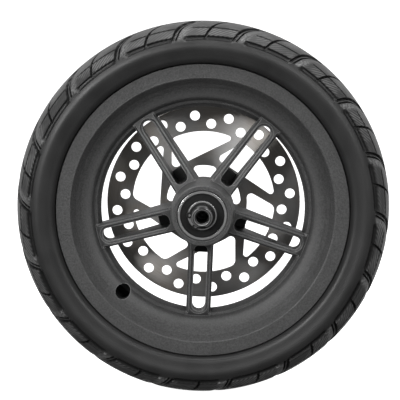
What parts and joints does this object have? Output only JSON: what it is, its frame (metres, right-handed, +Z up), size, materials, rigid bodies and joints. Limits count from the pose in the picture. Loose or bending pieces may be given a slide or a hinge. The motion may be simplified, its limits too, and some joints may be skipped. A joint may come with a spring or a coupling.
{
  "type": "scooter wheel",
  "caption": "Kick scooter rear wheel: cast five-spoke rim with airless rubber tyre, drilled brake disc, sealed bearings and fixed axle.",
  "frame": {"origin": "centre of the wheel on the axle's axis, half way along the axle and across the tyre", "axes": "+Y along the axle towards the brake disc side, +Z up"},
  "size_m": [0.216, 0.1, 0.216],
  "materials": {
    "tyre_rubber": "matt black moulded rubber",
    "cast_coating": "cast, with a satin dark-grey powder coat",
    "disc_steel": "ground stainless steel",
    "bolt_steel": "black oxide",
    "axle_steel": "turned, zinc plated",
    "collar_aluminium": "turned",
    "ring_steel": "phosphated spring steel",
    "bearing_steel": "ground and polished bearing steel",
    "cage_plastic": "glass-filled nylon",
    "seal_rubber": "moulded nitrile rubber"
  },
  "bodies": {
    "axle": {"axle": "axle_steel", "bearing_spacer": "axle_steel", "rear_collar": "collar_aluminium", "front_retaining_ring": "ring_steel", "rear_retaining_ring": "ring_steel", "front_inner_race": "bearing_steel", "rear_inner_race": "bearing_steel"},
    "wheel": {"wheel_casting": "cast_coating", "tyre": "tyre_rubber", "brake_disc": "disc_steel", "disc_bolts": "bolt_steel", "front_outer_race": "bearing_steel", "rear_outer_race": "bearing_steel", "front_outer_seal": "seal_rubber", "front_inner_seal": "seal_rubber", "rear_outer_seal": "seal_rubber", "rear_inner_seal": "seal_rubber"},
    "front_cage": {"front_bearing_cage": "cage_plastic", "front_bearing_balls": "bearing_steel"},
    "rear_cage": {"rear_bearing_cage": "cage_plastic", "rear_bearing_balls": "bearing_steel"}
  },
  "joints": [
    {"name": "wheel_spin", "type": "hinge", "parent": "axle", "child": "wheel", "pos_m": [0, 0, 0], "axis": [0, 1, 0], "continuous": true},
    {"name": "front_cage_spin", "type": "hinge", "parent": "axle", "child": "front_cage", "pos_m": [0, -0.036, 0], "axis": [0, 1, 0], "continuous": true},
    {"name": "rear_cage_spin", "type": "hinge", "parent": "axle", "child": "rear_cage", "pos_m": [0, 0.018, 0], "axis": [0, 1, 0], "continuous": true}
  ],
  "couplings": [
    {"joint": "front_cage_spin", "follows": "wheel_spin", "ratio": 0.619},
    {"joint": "rear_cage_spin", "follows": "wheel_spin", "ratio": 0.619}
  ]
}
